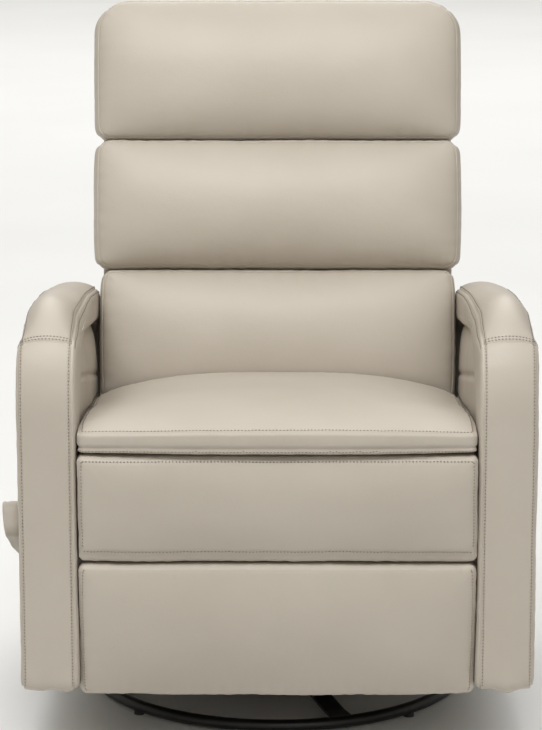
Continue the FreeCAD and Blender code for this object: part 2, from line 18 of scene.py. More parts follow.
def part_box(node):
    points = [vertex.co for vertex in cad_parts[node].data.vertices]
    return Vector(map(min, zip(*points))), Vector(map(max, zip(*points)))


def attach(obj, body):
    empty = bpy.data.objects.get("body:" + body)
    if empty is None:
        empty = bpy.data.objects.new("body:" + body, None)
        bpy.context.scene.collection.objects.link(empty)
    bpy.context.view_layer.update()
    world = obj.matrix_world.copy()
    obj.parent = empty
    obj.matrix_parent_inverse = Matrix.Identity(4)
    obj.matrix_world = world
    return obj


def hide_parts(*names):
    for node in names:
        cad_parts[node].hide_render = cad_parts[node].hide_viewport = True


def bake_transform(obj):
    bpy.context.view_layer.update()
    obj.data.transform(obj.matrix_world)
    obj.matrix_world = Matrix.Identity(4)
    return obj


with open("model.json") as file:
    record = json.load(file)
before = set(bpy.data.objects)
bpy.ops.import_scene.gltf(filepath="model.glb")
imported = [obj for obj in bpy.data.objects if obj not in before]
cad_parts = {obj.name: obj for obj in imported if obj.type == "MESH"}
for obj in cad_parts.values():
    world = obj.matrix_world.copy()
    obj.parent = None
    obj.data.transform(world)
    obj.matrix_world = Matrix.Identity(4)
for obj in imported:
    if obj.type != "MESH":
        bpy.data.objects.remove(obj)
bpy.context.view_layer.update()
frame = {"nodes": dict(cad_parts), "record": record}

MM = 0.001
ring_low, ring_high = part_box("base_ring")
AXIS = np.array([(ring_low.x + ring_high.x) / 2, (ring_low.y + ring_high.y) / 2, 0.0])

# back frame: w backwards and u up along the leaning back, from the recline hinge
BACK_HINGE_Y = 140.0
BACK_HINGE_Z = 370.0
BACK_LEAN = math.radians(15.0)

CUSHION_STEP = 7.0           # mesh spacing before the last subdivision
SEAM_STEP = 1.5              # spacing of the points that follow a seam
STITCH_PITCH = 5.0
STITCH_LENGTH = 2.8
STITCH_RADIUS = 0.75
WELT_RADIUS = 1.5

# metres in the row frame, degrees below level, and the lens's millimetres and share sideways
CAMERA_PLACE = (0.0155, -4.466, 1.501)
CAMERA_DOWN = 12.48
CAMERA_LENS = 144.8
CAMERA_SHIFT = -0.0089

# ---- mesh helpers ---------------------------------------------------------------------


def in_chair(points):
    """Metres in the chair's frame to metres in the row frame."""
    return np.asarray(points, float) + AXIS


def in_back(points):
    """Metres (x, w, u) in the leaning back's frame to metres in the row frame."""
    x, w, u = np.asarray(points, float).T
    y = BACK_HINGE_Y * MM + w * math.cos(BACK_LEAN) + u * math.sin(BACK_LEAN)
    z = BACK_HINGE_Z * MM - w * math.sin(BACK_LEAN) + u * math.cos(BACK_LEAN)
    return np.stack([x, y, z], 1) + AXIS


def mesh_object(name, points, faces):
    mesh = bpy.data.meshes.new(name)
    mesh.from_pydata([tuple(p) for p in points], [], [tuple(f) for f in faces])
    body = bmesh.new()
    body.from_mesh(mesh)
    bmesh.ops.recalc_face_normals(body, faces=body.faces)
    body.to_mesh(mesh)
    body.free()
    mesh.shade_smooth()
    obj = bpy.data.objects.new(name, mesh)
    bpy.context.scene.collection.objects.link(obj)
    return obj


def coordinates(obj):
    found = np.empty(len(obj.data.vertices) * 3)
    obj.data.vertices.foreach_get("co", found)
    return found.reshape(-1, 3)


def set_coordinates(obj, points):
    obj.data.vertices.foreach_set("co", np.asarray(points, np.float32).ravel())
    obj.data.update()


def vertex_normals(obj):
    found = np.empty(len(obj.data.vertices) * 3)
    obj.data.vertex_normals.foreach_get("vector", found)
    return found.reshape(-1, 3)


def apply_modifiers(obj):
    seen = obj.evaluated_get(bpy.context.evaluated_depsgraph_get())
    mesh = bpy.data.meshes.new_from_object(seen)
    obj.modifiers.clear()
    obj.data = mesh
    mesh.shade_smooth()


def subdivide(obj):
    modifier = obj.modifiers.new("subdivision", "SUBSURF")
    modifier.levels = 1
    apply_modifiers(obj)


def unit(vectors):
    return vectors / np.maximum(np.linalg.norm(vectors, axis=1, keepdims=True), 1e-12)


def smoothstep(value, low, high):
    t = np.clip((value - low) / (high - low), 0, 1)
    return t * t * (3 - 2 * t)


def rounded(corners, arc_steps, run_steps):
    """Closed outline through polygon corners (a, b, radius), each arc and each run in even steps."""
    count = len(corners)
    outline = []
    for i in range(count):
        before = np.array(corners[i - 1][:2], float)
        here = np.array(corners[i][:2], float)
        after = np.array(corners[(i + 1) % count][:2], float)
        radius = corners[i][2]
        back = (before - here) / np.linalg.norm(before - here)
        on = (after - here) / np.linalg.norm(after - here)
        half = math.acos(float(np.clip(back @ on, -1, 1))) / 2
        reach = radius / math.tan(half)
        middle = here + (back + on) / np.linalg.norm(back + on) * radius / math.sin(half)
        start = here + back * reach - middle
        end = here + on * reach - middle
        turn = math.atan2(start[0] * end[1] - start[1] * end[0], start @ end)
        for k in range(arc_steps + 1):
            angle = turn * k / arc_steps
            cosine, sine = math.cos(angle), math.sin(angle)
            turned = [start[0] * cosine - start[1] * sine, start[0] * sine + start[1] * cosine]
            outline.append(middle + turned)
        next_radius = corners[(i + 1) % count][2]
        ahead = np.array(corners[(i + 2) % count][:2], float)
        first = outline[-1]
        on_next = (ahead - after) / np.linalg.norm(ahead - after)
        back_next = -on
        half_next = math.acos(float(np.clip(back_next @ on_next, -1, 1))) / 2
        last = after + back_next * next_radius / math.tan(half_next)
        for k in range(1, run_steps):
            outline.append(first + (last - first) * k / run_steps)
    return np.array(outline)


# ---- seams, welts and stitches -------------------------------------------------------------


def resample(points, normals, step, closed=True):
    """Evenly spaced points along a line, with their normals."""
    if closed:
        points = np.vstack([points, points[:1]])
        normals = np.vstack([normals, normals[:1]])
    lengths = np.concatenate([[0], np.cumsum(np.linalg.norm(np.diff(points, axis=0), axis=1))])
    count = max(4, round(lengths[-1] / step))
    where = np.linspace(0, lengths[-1], count + 1)[: count if closed else count + 1]
    even = [np.interp(where, lengths, points[:, k]) for k in range(3)]
    facing = [np.interp(where, lengths, normals[:, k]) for k in range(3)]
    return np.stack(even, 1), unit(np.stack(facing, 1))


def surface(obj):
    return BVHTree.FromObject(obj, bpy.context.evaluated_depsgraph_get())


def snap(points, tree):
    """Nearest points of a surface, with its normals."""
    places, facing = [], []
    for p in points:
        place, normal, _, _ = tree.find_nearest(Vector(p))
        places.append(place)
        facing.append(normal)
    return np.array(places), np.array(facing)


def tangents(points, closed=True):
    if closed:
        return unit(np.roll(points, -1, 0) - np.roll(points, 1, 0))
    return unit(np.gradient(points, axis=0))


def beside(points, normals, distance, tree):
    """The line that runs beside a closed one at a distance in metres, on the same surface."""
    across = unit(np.cross(normals, tangents(points)))
    return snap(points + across * distance, tree)


def inside(points, normals, distance, tree):
    """The line beside a closed seam, on the side where it starts nearer the middle.  distance in mm."""
    row, facing = beside(points, normals, distance * MM, tree)
    if abs(row[0][0]) > abs(points[0][0]):
        row, facing = beside(points, normals, -distance * MM, tree)
    return row, facing


def unevenness(points, size, seed, octaves=2):
    """Smooth repeatable noise, about -1 to 1: sine waves in seeded directions.  size in mm."""
    draw = np.random.default_rng(seed)
    total = np.zeros(len(points))
    for octave in range(octaves):
        for _ in range(6):
            heading = draw.normal(size=3)
            heading *= 2 * math.pi / (np.linalg.norm(heading) * size * MM) * draw.uniform(0.6, 1.4)
            phase = draw.uniform(0, 2 * math.pi)
            total += np.sin(points @ heading * 2 ** octave + phase) / 2 ** octave
    return total / 4.5


def press(obj, points, depth, width, gathers=0.0, reach=14.0, seed=0):
    """Sinks a seam into a soft mesh, with small gathers that fade away from it.  Sizes in mm."""
    line = KDTree(len(points))
    for k, p in enumerate(points):
        line.insert(Vector(p), k)
    line.balance()
    place = coordinates(obj)
    facing = vertex_normals(obj)
    limit = max(3 * width, 3 * reach if gathers else 0) * MM
    step = np.linalg.norm(points[1] - points[0])
    coarse = points[::8]
    near = np.full(len(place), np.inf)
    for start in range(0, len(coarse), 64):
        gaps = place[:, None, :] - coarse[None, start : start + 64]
        near = np.minimum(near, np.einsum("ijk,ijk->ij", gaps, gaps).min(1))
    chosen = np.flatnonzero(near < (limit + 8 * step) ** 2)
    found = [line.find(Vector(place[i])) for i in chosen]
    along = np.array([f[1] for f in found]) * step
    distance = np.array([f[2] for f in found])
    shift = -depth * np.exp(-((distance / (width * MM)) ** 2))
    if gathers:
        wave = unevenness(np.stack([along, distance * 0.15, along * 0], 1), 20, seed)
        fade = np.exp(-distance / (reach * MM)) * np.clip(distance / (2 * width * MM), 0, 1)
        shift = shift + gathers * wave * fade
    place[chosen] += facing[chosen] * (shift * MM)[:, None]
    set_coordinates(obj, place)


def rumple(obj, amount, size, seed, where=None):
    """Slow unevenness of stuffed leather.  amount and size in mm."""
    place = coordinates(obj)
    weight = 1.0 if where is None else where(place)
    shift = unevenness(place, size, seed) * amount * weight * MM
    set_coordinates(obj, place + vertex_normals(obj) * shift[:, None])


def ring_faces(rings, count, closed_rings):
    faces = []
    for ring in range(rings if closed_rings else rings - 1):
        here, there = ring * count, (ring + 1) % rings * count
        for k in range(count):
            m = (k + 1) % count
            faces.append((here + k, here + m, there + m, there + k))
    return faces


def tube(name, points, normals, radius, sides=8):
    """A round welt along a closed line on a surface."""
    along = tangents(points)
    across = unit(np.cross(along, normals))
    out = unit(np.cross(across, along))
    rings = []
    for k in range(len(points)):
        for side in range(sides):
            angle = 2 * math.pi * side / sides
            offset = across[k] * math.cos(angle) + out[k] * math.sin(angle)
            rings.append(points[k] + offset * radius * MM)
    return mesh_object(name, rings, ring_faces(len(points), sides, True))


def stitch_parts(points, normals, closed):
    """Points and faces of a row of short raised stitches along a line."""
    points, normals = resample(points, normals, STITCH_PITCH * MM, closed)
    along = tangents(points, closed)
    across = unit(np.cross(along, normals))
    profile = ((-0.5, 0.3, -0.4), (0.0, 1.0, 0.45), (0.5, 0.3, -0.4))
    sides = ((1.25, 0.0), (0.0, 1.0), (-1.25, 0.0), (0.0, -1.0))
    rings = []
    for share, girth, lift in profile:
        centre = points + (along * share * STITCH_LENGTH + normals * lift * STITCH_RADIUS) * MM
        for wide, high in sides:
            rings.append(centre + (across * wide + normals * high) * girth * STITCH_RADIUS * MM)
    corners = np.stack(rings, 1).reshape(-1, 3)
    pattern = ring_faces(len(profile), len(sides), False) + [(0, 1, 2, 3), (8, 9, 10, 11)]
    size = len(profile) * len(sides)
    faces = [tuple(k * size + v for v in face) for k in range(len(points)) for face in pattern]
    return corners, faces


def stitch_rows(name, rows):
    """One object with several rows of stitches: rows are (points, normals, closed)."""
    corners, faces, base = [], [], 0
    for points, normals, closed in rows:
        more, quads = stitch_parts(points, normals, closed)
        corners.append(more)
        faces += [tuple(v + base for v in face) for face in quads]
        base += len(more)
    return mesh_object(name, np.vstack(corners), faces)


# ---- cushions --------------------------------------------------------------------------------


class Cushion:
    """A rounded box of quads that keeps track of the rings round its walls.

    a is across the chair, b along the cushion's height or length, t through its thickness.
    """

    def __init__(self, name, size, edge, corner, step=CUSHION_STEP):
        corner = corner if isinstance(corner, tuple) else (corner, corner)
        self.counts = [max(4, 2 * round(s / step / 2)) for s in size]
        self.index = {}
        self.faces = []
        for fixed in range(3):
            first, second = [k for k in range(3) if k != fixed]
            for level in (0, self.counts[fixed]):
                for i in range(self.counts[first]):
                    for j in range(self.counts[second]):
                        quad = []
                        for di, dj in ((0, 0), (1, 0), (1, 1), (0, 1)):
                            key = [0, 0, 0]
                            key[fixed], key[first], key[second] = level, i + di, j + dj
                            quad.append(self.index.setdefault(tuple(key), len(self.index)))
                        self.faces.append(quad)
        keys = np.array(list(self.index), float)
        half = np.array(size, float) / 2
        p = (2 * keys / np.array(self.counts) - 1) * half
        inner = np.clip(p, -(half - edge), half - edge)
        outward = p - inner
        length = np.linalg.norm(outward, axis=1, keepdims=True)
        p = np.where(length > 1e-9, inner + outward / np.maximum(length, 1e-9) * edge, p)
        plan = p[:, :2]
        turn = np.where(plan[:, 1:] > 0, corner[1], corner[0])
        core = np.clip(plan, -(half[:2] - turn), half[:2] - turn)
        out = plan - core
        reach = np.abs(out).max(1, keepdims=True)
        span = np.linalg.norm(out, axis=1, keepdims=True)
        p[:, :2] = core + out * reach / np.maximum(span, 1e-9)
        self.box = p / half
        self.name = name

    def ring(self, level):
        """Vertex numbers round the four walls at a level through the thickness."""
        wide, tall, _ = self.counts
        keys = [(i, 0, level) for i in range(wide)]
        keys += [(wide, j, level) for j in range(tall)]
        keys += [(i, tall, level) for i in range(wide, 0, -1)]
        keys += [(0, j, level) for j in range(tall, 0, -1)]
        return [self.index[k] for k in keys]

    def build(self, shape):
        """Makes the object. shape turns box shares (-1..1) into millimetres."""
        points = shape(self.box[:, 0], self.box[:, 1], self.box[:, 2])
        self.obj = mesh_object(self.name, np.stack(points, 1) * MM, self.faces)

    def puff(self, cap, held, pressure=4.0, frames=20):
        """Inflates the cushion as cloth. held gives each vertex's pin weight, cap is in mm."""
        obj = self.obj
        rest = coordinates(obj)
        pins = obj.vertex_groups.new(name="held")
        for i, weight in enumerate(held):
            if weight > 0:
                pins.add([i], float(weight), "REPLACE")
        cloth = obj.modifiers.new("Cloth", "CLOTH")
        cloth.settings.quality = 4
        cloth.settings.use_pressure = True
        cloth.settings.uniform_pressure_force = pressure
        cloth.settings.effector_weights.gravity = 0
        cloth.settings.vertex_group_mass = "held"
        cloth.settings.pin_stiffness = 2.0
        cloth.point_cache.frame_start = 1
        cloth.point_cache.frame_end = frames
        for number in range(1, frames + 1):
            bpy.context.scene.frame_set(number)
        seen = obj.evaluated_get(bpy.context.evaluated_depsgraph_get())
        moved = np.empty(len(rest) * 3)
        seen.data.vertices.foreach_get("co", moved)
        shift = moved.reshape(-1, 3) - rest
        obj.modifiers.clear()
        obj.vertex_groups.clear()
        far = np.linalg.norm(shift, axis=1, keepdims=True)
        limit = cap * MM
        shift *= limit * np.tanh(far / limit) / np.maximum(far, 1e-9)
        set_coordinates(obj, rest + shift)
        bpy.context.scene.frame_set(1)

    def line(self, ring):
        """Even points and normals along a ring of vertices."""
        place = coordinates(self.obj)[ring]
        facing = vertex_normals(self.obj)[ring]
        return resample(place, facing, SEAM_STEP * MM)


# ---- materials -----------------------------------------------------------------------------


def material(name, colors, mottle, rough, metallic=0.0, grain=None, stretch=(1, 1, 1), fine=None):
    """A Principled material: two colours mixed by noise of a size in mm, uneven roughness, bumps.

    grain is (kind, size in mm, height in mm), with kind "cells" or "noise"; fine is a second one.
    """
    made = bpy.data.materials.new(name)
    made.use_nodes = True
    nodes, links = made.node_tree.nodes, made.node_tree.links
    shader = nodes["Principled BSDF"]
    shader.inputs["Metallic"].default_value = metallic
    place = nodes.new("ShaderNodeTexCoord")
    mapping = nodes.new("ShaderNodeMapping")
    mapping.inputs["Scale"].default_value = stretch
    links.new(place.outputs["Object"], mapping.inputs["Vector"])
    patches = nodes.new("ShaderNodeTexNoise")
    patches.inputs["Scale"].default_value = 1000.0 / mottle
    patches.inputs["Detail"].default_value = 4.0
    links.new(mapping.outputs["Vector"], patches.inputs["Vector"])
    ramp = nodes.new("ShaderNodeValToRGB")
    ramp.color_ramp.elements[0].position = 0.3
    ramp.color_ramp.elements[1].position = 0.7
    ramp.color_ramp.elements[0].color = (*colors[0], 1)
    ramp.color_ramp.elements[1].color = (*colors[1], 1)
    links.new(patches.outputs["Fac"], ramp.inputs["Fac"])
    links.new(ramp.outputs["Color"], shader.inputs["Base Color"])
    spread = nodes.new("ShaderNodeMapRange")
    spread.inputs["To Min"].default_value = rough[0]
    spread.inputs["To Max"].default_value = rough[1]
    links.new(patches.outputs["Fac"], spread.inputs["Value"])
    links.new(spread.outputs["Result"], shader.inputs["Roughness"])
    below = None
    for kind, size, height in [g for g in (grain, fine) if g]:
        if kind == "cells":
            relief = nodes.new("ShaderNodeTexVoronoi")
            relief.inputs["Scale"].default_value = 1000.0 / size
            value = relief.outputs["Distance"]
        else:
            relief = nodes.new("ShaderNodeTexNoise")
            relief.inputs["Scale"].default_value = 1000.0 / size
            relief.inputs["Detail"].default_value = 5.0
            value = relief.outputs["Fac"]
        links.new(mapping.outputs["Vector"], relief.inputs["Vector"])
        bump = nodes.new("ShaderNodeBump")
        bump.inputs["Strength"].default_value = 0.6
        bump.inputs["Distance"].default_value = height * MM
        links.new(value, bump.inputs["Height"])
        if below is not None:
            links.new(below.outputs["Normal"], bump.inputs["Normal"])
        below = bump
    if below is not None:
        links.new(below.outputs["Normal"], shader.inputs["Normal"])
    return made


def leather_material():
    """Semi-gloss leather with a fine pebble and slow waves."""
    made = material("greige_leather", ((0.455, 0.408, 0.345), (0.495, 0.447, 0.382)), 220, (0.40, 0.50),
                    grain=("cells", 1.5, 0.2), fine=("noise", 14, 0.4))
    made.node_tree.nodes["Principled BSDF"].inputs["Specular IOR Level"].default_value = 0.42
    return made


LEATHER = leather_material()
# The stitch thread is given a colour much darker than the leather: painted shade that stands in for the
# shadowed stitch holes, on thread whose own colour matches the leather.
THREAD_WITH_HOLE_SHADE = material("thread_with_painted_hole_shade", ((0.21, 0.18, 0.145), (0.27, 0.235, 0.19)), 3, (0.6, 0.75),
                  grain=("noise", 0.7, 0.15))
WELT = material("greige_welt", ((0.46, 0.415, 0.35), (0.50, 0.455, 0.39)), 40, (0.42, 0.52),
                grain=("cells", 1.3, 0.12))
BLACK_STEEL = material("black_powder_coat", ((0.004, 0.004, 0.004), (0.008, 0.008, 0.008)), 30,
                       (0.30, 0.42), grain=("noise", 1.2, 0.06))
MECHANISM = material("mechanism_steel", ((0.09, 0.09, 0.095), (0.16, 0.16, 0.165)), 60, (0.32, 0.5),
                     metallic=0.9, grain=("noise", 2.5, 0.05))
ZINC = material("zinc_plate", ((0.52, 0.53, 0.55), (0.68, 0.69, 0.70)), 12, (0.22, 0.4), metallic=1.0,
                grain=("noise", 1.5, 0.03))
SPRING = material("spring_wire", ((0.20, 0.20, 0.21), (0.30, 0.30, 0.31)), 25, (0.3, 0.45), metallic=1.0,
                  grain=("noise", 1.5, 0.03))
WOOD = material("frame_hardwood", ((0.34, 0.21, 0.11), (0.52, 0.36, 0.21)), 30, (0.5, 0.68),
                stretch=(0.12, 1, 1), grain=("noise", 4, 0.25))
NYLON = material("black_nylon", ((0.016, 0.016, 0.017), (0.03, 0.03, 0.031)), 20, (0.38, 0.5),
                 grain=("noise", 2, 0.08))
DECK = material("black_deck_cloth", ((0.02, 0.02, 0.021), (0.045, 0.045, 0.046)), 4, (0.8, 0.95),
                grain=("cells", 1.6, 0.3))
FINISHES = {"leather": LEATHER, "black_steel": BLACK_STEEL, "mechanism_steel": MECHANISM,
            "zinc_fasteners": ZINC, "spring_wire": SPRING, "frame_wood": WOOD, "black_nylon": NYLON,
            "deck_cloth": DECK}


def finish(obj, surface_material=None, slot="leather"):
    obj.data.materials.clear()
    obj.data.materials.append(surface_material or FINISHES[slot])


def settle(obj, place, body, surface_material=None, slot="leather"):
    """Moves a finished mesh from its own frame into the row frame and fixes it to its body."""
    set_coordinates(obj, place(coordinates(obj)))
    finish(obj, surface_material, slot)
    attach(obj, body)


# ---- back ----------------------------------------------------------------------------------


def back_pillow(name, low, high, half, bulge, rim, crown, corner):
    """One stuffed back pillow with a welt round its front face, in the back's frame.

    bulge is that of its side walls, rim and crown are its depths, and corner has the radii of its
    lower and its upper corners.
    """
    middle, tall = (low + high) / 2, (high - low) / 2
    pad = Cushion(name, (2 * half, 2 * tall, rim), edge=7, corner=corner)

    def shape(a, b, t):
        across = np.clip(1 - np.abs(a) ** 5, 0, 1) ** 0.55
        along = np.clip(1 - np.abs(b + 0.12 * (1 - b * b)) ** 2.2, 0, 1) ** 0.62
        front = rim + (crown - rim) * across * along
        wall = bulge * (1 - t * t) * smoothstep(np.abs(a), 0.9, 1) * np.sign(a)
        bow = 1 - 0.010 * np.abs(b) ** 3
        return a * half * bow + wall, -front * (t + 1) / 2, middle + b * tall

    pad.build(shape)
    held = np.where(pad.box[:, 2] < -0.6, 1.0, 0.0)
    rim_ring = pad.ring(pad.counts[2])
    held[rim_ring] = 0.9
    pad.puff(cap=9, held=held)
    obj = pad.obj
    subdivide(obj)
    rumple(obj, amount=0.7, size=170, seed=11 + int(low))
    points, normals = pad.line(rim_ring)
    press(obj, points, depth=1.6, width=3.0, gathers=1.0, reach=16, seed=int(low))
    points, normals = pad.line(rim_ring)
    return obj, tube(name + "_welt", points, normals, WELT_RADIUS)


def back_cushions():
    sizes = {
        "lumbar": dict(low=38, high=255, half=285.5, bulge=2.5, rim=50, crown=94, corner=(22, 20)),
        "middle": dict(low=255, high=464, half=292.5, bulge=6.0, rim=52, crown=98, corner=(20, 22)),
        "head": dict(low=464, high=693, half=292.5, bulge=6.0, rim=46, crown=92, corner=(22, 54)),
    }
    for name, values in sizes.items():
        pillow, welt = back_pillow("back_cushion_" + name, **values)
        settle(pillow, in_back, "back")
        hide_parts("pillow_" + name)
        settle(welt, in_back, "back", WELT)


def back_top_roll():
    """The padded roll behind the head cushion, over the top of the frame."""
    wide, deep, tall = 572, 62, 47
    roll = Cushion("back_top_roll", (wide, deep, tall), edge=20, corner=26)

    def shape(a, b, t):
        x = a * wide / 2 * (1 - 0.03 * smoothstep(t, -1, 1))
        w = 27 + b * deep / 2
        u = 664 + t * 23 * (1 - 0.25 * np.clip(b, 0, 1) ** 2)
        return x, w, u

    roll.build(shape)
    subdivide(roll.obj)
    rumple(roll.obj, amount=0.8, size=90, seed=5)
    settle(roll.obj, in_back, "back")


def back_side_panels():
    """Leather over the two sides of the back."""
    deep, tall, thick = 44, 606, 22
    for side in (-1, 1):
        name = "back_side_" + ("left" if side > 0 else "right")
        panel = Cushion(name, (deep, tall, thick), edge=8, corner=9)
        panel.build(lambda a, b, t: (side * (273 + t * thick / 2), deep / 2 + a * deep / 2,
                                     336 + b * tall / 2))
        subdivide(panel.obj)
        rumple(panel.obj, amount=0.8, size=110, seed=3 + side)
        settle(panel.obj, in_back, "back")
        if side > 0:
            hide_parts("back_side_panels")


def back_rear_cover():
    """Leather over the rear of the back, with a stitched edge and one seam across."""
    wide, tall = 568, 610
    rear = Cushion("back_rear_cover", (wide, tall, 15), edge=6, corner=14, step=8)

    def shape(a, b, t):
        swell = 3 * (t + 1) / 2 * (1 - a ** 4) * (1 - b ** 4)
        return a * wide / 2, 49 + t * 7 + swell, 335 + b * tall / 2

    rear.build(shape)
    subdivide(rear.obj)
    rumple(rear.obj, amount=1.0, size=170, seed=9)
    tree = surface(rear.obj)
    points, normals = rear.line(rear.ring(rear.counts[2]))
    edge, edge_normals = inside(points, normals, 9, tree)
    press(rear.obj, edge, depth=1.2, width=3.0, gathers=0.5, reach=12, seed=2)
    across = np.stack([np.linspace(-0.270, 0.270, 200), np.full(200, 0.060), np.full(200, 0.462)], 1)
    cross, cross_normals = snap(across, tree)
    press(rear.obj, cross, depth=1.8, width=3.0, gathers=0.6, reach=12, seed=4)
    stitches = stitch_rows("back_rear_stitches", [
        (edge, edge_normals, True),
        (cross + [0, 0, 5 * MM], cross_normals, False),
        (cross - [0, 0, 5 * MM], cross_normals, False),
    ])
    settle(rear.obj, in_back, "back")
    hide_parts("back_rear_panel")
    settle(stitches, in_back, "back", THREAD_WITH_HOLE_SHADE)


def rear_gusset():
    """The slack leather that joins the back's rear cover to the panel below it."""
    wide, thick = 560, 6
    top_z, foot_z = 398, 356
    gusset = Cushion("rear_gusset", (wide, 70, thick), edge=3, corner=4, step=6)

    def shape(a, b, t):
        down = (1 - b) / 2
        y = 187 + 66 * smoothstep(down, 0, 1) + 8 * np.sin(down * math.pi)
        z = top_z - (top_z - foot_z) * down
        return a * wide / 2, y + t * thick / 2, z + t * 2

    gusset.build(shape)
    subdivide(gusset.obj)
    rumple(gusset.obj, amount=1.2, size=60, seed=15)
    set_coordinates(gusset.obj, in_chair(coordinates(gusset.obj)))
    finish(gusset.obj)
    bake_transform(gusset.obj)


# ---- seat ----------------------------------------------------------------------------------

SEAT_FRONT = -434.0
SEAT_REAR = 78.0
SEAT_HALF = 287.0


def seat_surfaces(y):
    """Heights of the underside and the top of the seat cushion along its middle."""
    under = np.interp(y, (-436, -400, -330, 60, 80), (469, 465, 454, 412, 412))
    over = np.interp(y, (-436, -380, -300, -200, 76), (504, 511, 514, 509, 478))
    return under, over


def seat_cushion():
    """The box cushion: domed, lower towards the back, with a seam round its top and its foot."""
    pad = Cushion("seat_cushion_leather", (2 * SEAT_HALF, SEAT_REAR - SEAT_FRONT, 50), edge=6,
                  corner=(8, 44))

    def shape(a, b, t):
        y = (SEAT_FRONT + SEAT_REAR) / 2 + b * (SEAT_REAR - SEAT_FRONT) / 2
        under, over = seat_surfaces(y)
        back_share = smoothstep(y, -436, -60)
        over = over - (2 + 34 * back_share) * np.abs(a) ** 3 - 5 * (1 - back_share) * a * a
        z = under + (over - under) * (t + 1) / 2
        y = y + 14 * np.abs(a) ** 2.2 * (1 - smoothstep(y, -436, -300))
        return a * SEAT_HALF, y, z

    pad.build(shape)
    top = pad.counts[2]
    held = np.where(pad.box[:, 2] < -0.5, 1.0, 0.0)
    upper_ring, lower_ring = pad.ring(top), pad.ring(2)
    held[upper_ring] = 0.85
    held[lower_ring] = 0.85
    held[pad.ring(1)] = 1.0
    pad.puff(cap=15, held=held)
    obj = pad.obj
    subdivide(obj)
    rumple(obj, amount=1.0, size=190, seed=1, where=lambda p: smoothstep(p[:, 2], 0.44, 0.50))
    rows = []
    for ring, side in ((upper_ring, 1), (lower_ring, -1)):
        points, normals = pad.line(ring)
        press(obj, points, depth=2.4, width=2.6, gathers=0.8, reach=16, seed=7 + side)
        tree = surface(obj)
        points, normals = pad.line(ring)
        row, facing = beside(points, normals, 4.5 * MM, tree)
        other, other_facing = beside(points, normals, -4.5 * MM, tree)
        if (row[:, 2].mean() - other[:, 2].mean()) * side < 0:
            row, facing = other, other_facing
        press(obj, row, depth=0.6, width=1.4)
        rows.append((row, facing, True))
    stitches = stitch_rows("seat_cushion_stitches", rows)
    settle(obj, in_chair, "carriage")
    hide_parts("seat_cushion")
    settle(stitches, in_chair, "carriage", THREAD_WITH_HOLE_SHADE)


# ---- arms ----------------------------------------------------------------------------------

ARM_MIDDLE = 332.0           # the band's middle, across the chair
ARM_HALF = 43.0              # half its width
ARM_THICK = 80.0             # its depth from the window out
ARM_FRONT = -420.0
ARM_REAR = 270.0
ARM_LOW = 107.0
ARM_HIGH = 693.0             # where the line of its top meets the front
ARM_SLOPE = 0.15             # fall of that line towards the rear
WINDOW_FRONT = -335.0
WINDOW_REAR = 195.0
WINDOW_LOW = 183.0
WINDOW_DROP = 62.75          # from the line of the top down to the window
ARM_DOME_FRONT = 74.0        # how far the top's edges fall below its crown
ARM_DOME_REAR = 20.0
INNER_SEAM_IN = 6.0          # the edge seams, in from the band's sides
OUTER_SEAM_IN = 3.2
PANEL_TUCK = 7.0             # how far the soft panels reach past the window
PANEL_TOP_TUCK = 8.5
PANEL_EDGE = 10.0            # thickness of the soft panels at their edges
INNER_PANEL_X = 319.0        # the soft panels' hidden sides
OUTER_PANEL_X = 352.0
FRONT_CROSS_Z = 622.0
REAR_CROSS_Z = 470.0


def arm_top(y):
    """Height of the straight line of the armrest's top, which falls a little to the rear."""
    return ARM_HIGH - ARM_SLOPE * (y - ARM_FRONT)


def over_top(y, z):
    """Height over the straight line of the armrest's top.  Negative below it."""
    return z - arm_top(y)


def graded(length, spots, coarse, fine):
    """Positions along a closed line, closer together round the spots.  All in mm."""
    places, at = [], 0.0
    while at < length - coarse / 2:
        places.append(at)
        gap = min(abs(at - spot) for spot in spots)
        at += fine + (coarse - fine) * float(smoothstep(gap, 8, 22))
    return np.array(places)


def along_outline(outline):
    """Distance of each outline point from the first, and the whole length round."""
    closed = np.vstack([outline, outline[:1]])
    distance = np.concatenate([[0], np.cumsum(np.linalg.norm(np.diff(closed, axis=0), axis=1))])
    return distance[:-1], distance[-1]


def pick(outline, distance, length, places):
    """Outline points at the given distances from the first."""
    return np.stack([np.interp(places, distance, outline[:, k], period=length) for k in range(2)], 1)


def arm_section():
    """Section of the arm's padded band, in columns closer together round the two edge seams.

    Gives lateral mm, share from the window out, rounding-off share, column distances and seams.
    """
    profile = rounded([(-ARM_HALF, 0, 10), (-ARM_HALF, ARM_THICK, 7.5), (ARM_HALF, ARM_THICK, 8),
                       (ARM_HALF, 0, 10)], 12, 40)
    distance, length = along_outline(profile)
    outer = profile[:, 1] > ARM_THICK * 0.9
    inner_seam = distance[outer][np.argmin(np.abs(profile[outer, 0] + ARM_HALF - INNER_SEAM_IN))]
    outer_seam = distance[outer][np.argmin(np.abs(profile[outer, 0] - ARM_HALF + OUTER_SEAM_IN))]
    columns = graded(length, (inner_seam, outer_seam), 5.0, 1.1)
    x, v = pick(profile, distance, length, columns).T
    share = x / ARM_HALF
    outward = smoothstep(v, ARM_THICK * 0.2, ARM_THICK)
    round_off = (1 - np.sqrt(1 - 0.93 * share * share)) * outward
    v = v - 3.5 * share * share * outward
    x = x * (1 - 0.8 / ARM_HALF * (2 * v / ARM_THICK - 1) ** 2)
    return x, v / ARM_THICK, round_off, columns, (inner_seam, outer_seam)


